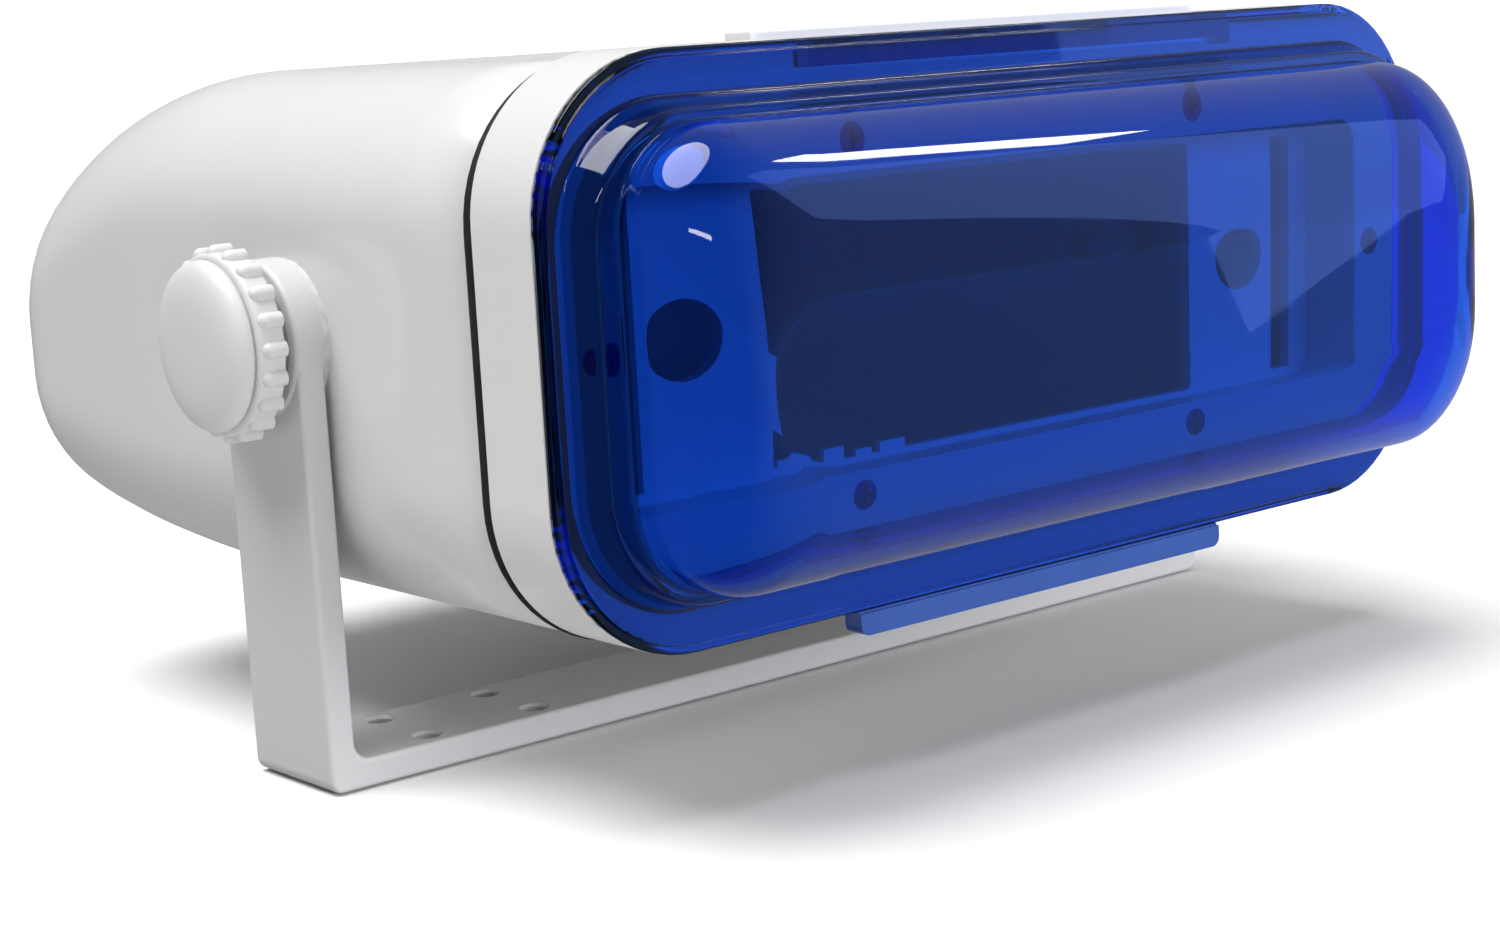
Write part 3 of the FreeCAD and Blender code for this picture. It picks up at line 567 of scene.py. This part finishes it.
def dress_cad_nodes():
    """Its slot's material on every CAD node, except the blue blocks and the dark screws."""
    for part in frame["record"]["subparts"]:
        obj = NODES[part["node"]]
        dress(obj, BY_SLOT[part["material_slot"]])
    for name in ("cover_hinge_leaf", "cover_latch_tab"):
        dress(NODES[name], BLUE_BLOCK)
    dress(NODES["face_plate_screws"], SCREW_DARK)


def place(obj, body, slot, *nodes):
    """Dress a detailed piece, let it ride on its body and let it stand in for its CAD nodes."""
    dress(obj, BY_SLOT[slot])
    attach(obj, body)
    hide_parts(*nodes)


# ---- stage, light and camera ----
FLOOR_SEEN = 0.93
FLOOR_BOUNCE = 0.55
FLOOR_SIZE = 400
FLOOR_Z = -0.4 * MM


def floor():
    """Plain pale floor, darker to everything but the camera and left out of mirror images."""
    bpy.ops.mesh.primitive_plane_add(size=FLOOR_SIZE, location=(0, 0, FLOOR_Z))
    obj = bpy.context.object
    obj.name = "floor"
    mat, nt, bsdf = material("floor_white")
    path = node(nt, "ShaderNodeLightPath")
    shade = mapped(nt, path.outputs["Is Camera Ray"], FLOOR_BOUNCE, FLOOR_SEEN, 0, 1)
    nt.links.new(shade, bsdf.inputs["Base Color"])
    bsdf.inputs["Roughness"].default_value = 0.9
    bsdf.inputs["Specular IOR Level"].default_value = 0.1
    dress(obj, mat)
    obj.visible_glossy = False


WORLD_LIGHT = 0.18
WORLD_MIRRORED = (0.03, 0.42)               # the studio's brightness in polished surfaces, left and right
MIRRORED_ACROSS = (-0.1, 0.6)               # the directions' X between which that changes
WHITE = (1, 1, 1, 1)
MIRRORED_IN_FRONT = (0.62, 1.0, 1.9, 1)     # the studio's colour in polished surfaces that face the front
MIRRORED_ALONG = (-0.35, 0)                 # the directions' Y between which the colour fades to white


def studio_world():
    """White to the camera, dim as a light, and graded from left to right in mirrors."""
    world = bpy.data.worlds.new("studio")
    bpy.context.scene.world = world
    world.use_nodes = True
    nt = world.node_tree
    path = node(nt, "ShaderNodeLightPath")
    where = node(nt, "ShaderNodeTexCoord")
    split = node(nt, "ShaderNodeSeparateXYZ")
    nt.links.new(where.outputs["Generated"], split.inputs["Vector"])
    mirrored = node(nt, "ShaderNodeMix", data_type="FLOAT")
    mirrored.inputs["A"].default_value = WORLD_LIGHT
    nt.links.new(path.outputs["Is Glossy Ray"], mirrored.inputs["Factor"])
    nt.links.new(mapped(nt, split.outputs["X"], *WORLD_MIRRORED, *MIRRORED_ACROSS), mirrored.inputs["B"])
    seen = node(nt, "ShaderNodeMath", operation="MAXIMUM")
    nt.links.new(path.outputs["Is Camera Ray"], seen.inputs[0])
    nt.links.new(mirrored.outputs["Result"], seen.inputs[1])
    in_front = node(nt, "ShaderNodeMath", operation="MULTIPLY")
    nt.links.new(path.outputs["Is Glossy Ray"], in_front.inputs[0])
    nt.links.new(mapped(nt, split.outputs["Y"], 1, 0, *MIRRORED_ALONG), in_front.inputs[1])
    colour = node(nt, "ShaderNodeMix", data_type="RGBA")
    colour.inputs["A"].default_value = WHITE
    colour.inputs["B"].default_value = MIRRORED_IN_FRONT
    nt.links.new(in_front.outputs["Value"], colour.inputs["Factor"])
    back = nt.nodes["Background"]
    nt.links.new(colour.outputs["Result"], back.inputs["Color"])
    nt.links.new(seen.outputs["Value"], back.inputs["Strength"])


SKY_FROM = (-0.26, 0.14, 1.0)               # the soft main light, from above and a little left and behind
SKY_STRENGTH = 3.9
SKY_WIDTH = 48                              # degrees across
LEFT_BOX_AT = (-0.9, -0.9, 0.75)            # small highlights on the cover's left end
STREAK_AT = (1.40, -0.66, 1.5)              # the bright streak along the pillow's top edge
STREAK_TURN = -28                           # degrees about Z
CARD_AT = (1.666, -1.2, 1.086)              # the soft sheen on the upper half of the pillow
CARD_LEAN = -24.9                           # degrees that its sides lean from upright
CARD_COLOUR = (0.20, 0.34, 1.0)
FILL_AT = (0.45, -1.55, 0.42)               # the broad light on the front and into the cover
FILL_AIM = (0, 0, 0.05)


def lamp(name, kind):
    """A new lamp, not placed yet."""
    data = bpy.data.lights.new(name, kind)
    obj = bpy.data.objects.new(name, data)
    bpy.context.scene.collection.objects.link(obj)
    return obj


def aimed(start, target):
    """The turn of a lamp that shines from one place towards another."""
    return (Vector(target) - Vector(start)).to_track_quat("-Z", "Y").to_euler()


def sky_light():
    """A very wide sun, which gives the soft shadows of an overhead screen."""
    obj = lamp("sky", "SUN")
    obj.data.energy = SKY_STRENGTH
    obj.data.angle = radians(SKY_WIDTH)
    obj.rotation_euler = aimed(SKY_FROM, (0, 0, 0))


def area_light(name, location, turn, size, radiance, colour=(1, 1, 1), mirrored_only=True):
    """A soft box that only polished surfaces show, or one that lights everything and shows in none."""
    obj = lamp(name, "AREA")
    obj.data.shape = "RECTANGLE"
    obj.data.size, obj.data.size_y = size
    obj.data.energy = radiance * pi * size[0] * size[1]
    obj.data.color = colour
    obj.location = location
    obj.rotation_euler = turn
    obj.visible_diffuse = not mirrored_only
    obj.visible_glossy = mirrored_only
    obj.visible_transmission = False


def lights():
    """The sky, three boxes that only reflections show, and the fill. Sizes are in metres."""
    sky_light()
    box_turn = aimed(LEFT_BOX_AT, (0, 0, HEAD_Z))
    area_light("left_box", LEFT_BOX_AT, box_turn, size=(0.7, 0.06), radiance=14.0)
    streak_turn = (0, 0, radians(STREAK_TURN))
    area_light("top_streak", STREAK_AT, streak_turn, size=(0.66, 0.15), radiance=17.0)
    card_turn = (radians(90), radians(CARD_LEAN), 0)
    area_light("front_card", CARD_AT, card_turn, size=(1.6, 2.0), radiance=2.2, colour=CARD_COLOUR)
    fill_turn = aimed(FILL_AT, FILL_AIM)
    area_light("front_fill", FILL_AT, fill_turn, size=(1.8, 0.8), radiance=5.2, mirrored_only=False)


CAMERA_AT = Vector((-0.35996, -0.42794, 0.13891))
CAMERA_AZIMUTH = -39.65
CAMERA_ELEVATION = 9.81
CAMERA_ROLL = -3.1
LENS_MM = 64.0
SENSOR_MM = 36.0
NEAREST_SEEN = 10 * MM


def camera():
    """Placed and turned by its azimuth and elevation about the object, and rolled about its own view."""
    az, el, roll = radians(CAMERA_AZIMUTH), radians(CAMERA_ELEVATION), radians(CAMERA_ROLL)
    back = Vector((sin(az) * cos(el), -cos(az) * cos(el), sin(el)))
    right = Vector((0, 0, 1)).cross(back).normalized()
    up = back.cross(right)
    tilted_right = right * cos(roll) + up * sin(roll)
    tilted_up = up * cos(roll) - right * sin(roll)
    data = bpy.data.cameras.new("camera")
    data.lens = LENS_MM
    data.sensor_width = SENSOR_MM
    data.clip_start = NEAREST_SEEN
    obj = bpy.data.objects.new("camera", data)
    bpy.context.scene.collection.objects.link(obj)
    turn = Matrix((tilted_right, tilted_up, back)).transposed()
    obj.matrix_world = Matrix.Translation(CAMERA_AT) @ turn.to_4x4()
    bpy.context.scene.camera = obj


dress_cad_nodes()
place(shell(), "housing", "shell_white", "rear_shell")
place(gasket(), "housing", "black_rubber", "shell_gasket")
place(cover(), "cover", "blue_cover", "cover_lens")
for cap_side, cap_body in ((1, "right"), (-1, "left")):
    place(knob_cap(cap_side), cap_body + "_knob", "knob_white", "knob_cap_" + cap_body)
floor()
studio_world()
lights()
camera()
bpy.context.scene.cycles.caustics_refractive = False
bpy.context.scene.view_settings.view_transform = "Standard"
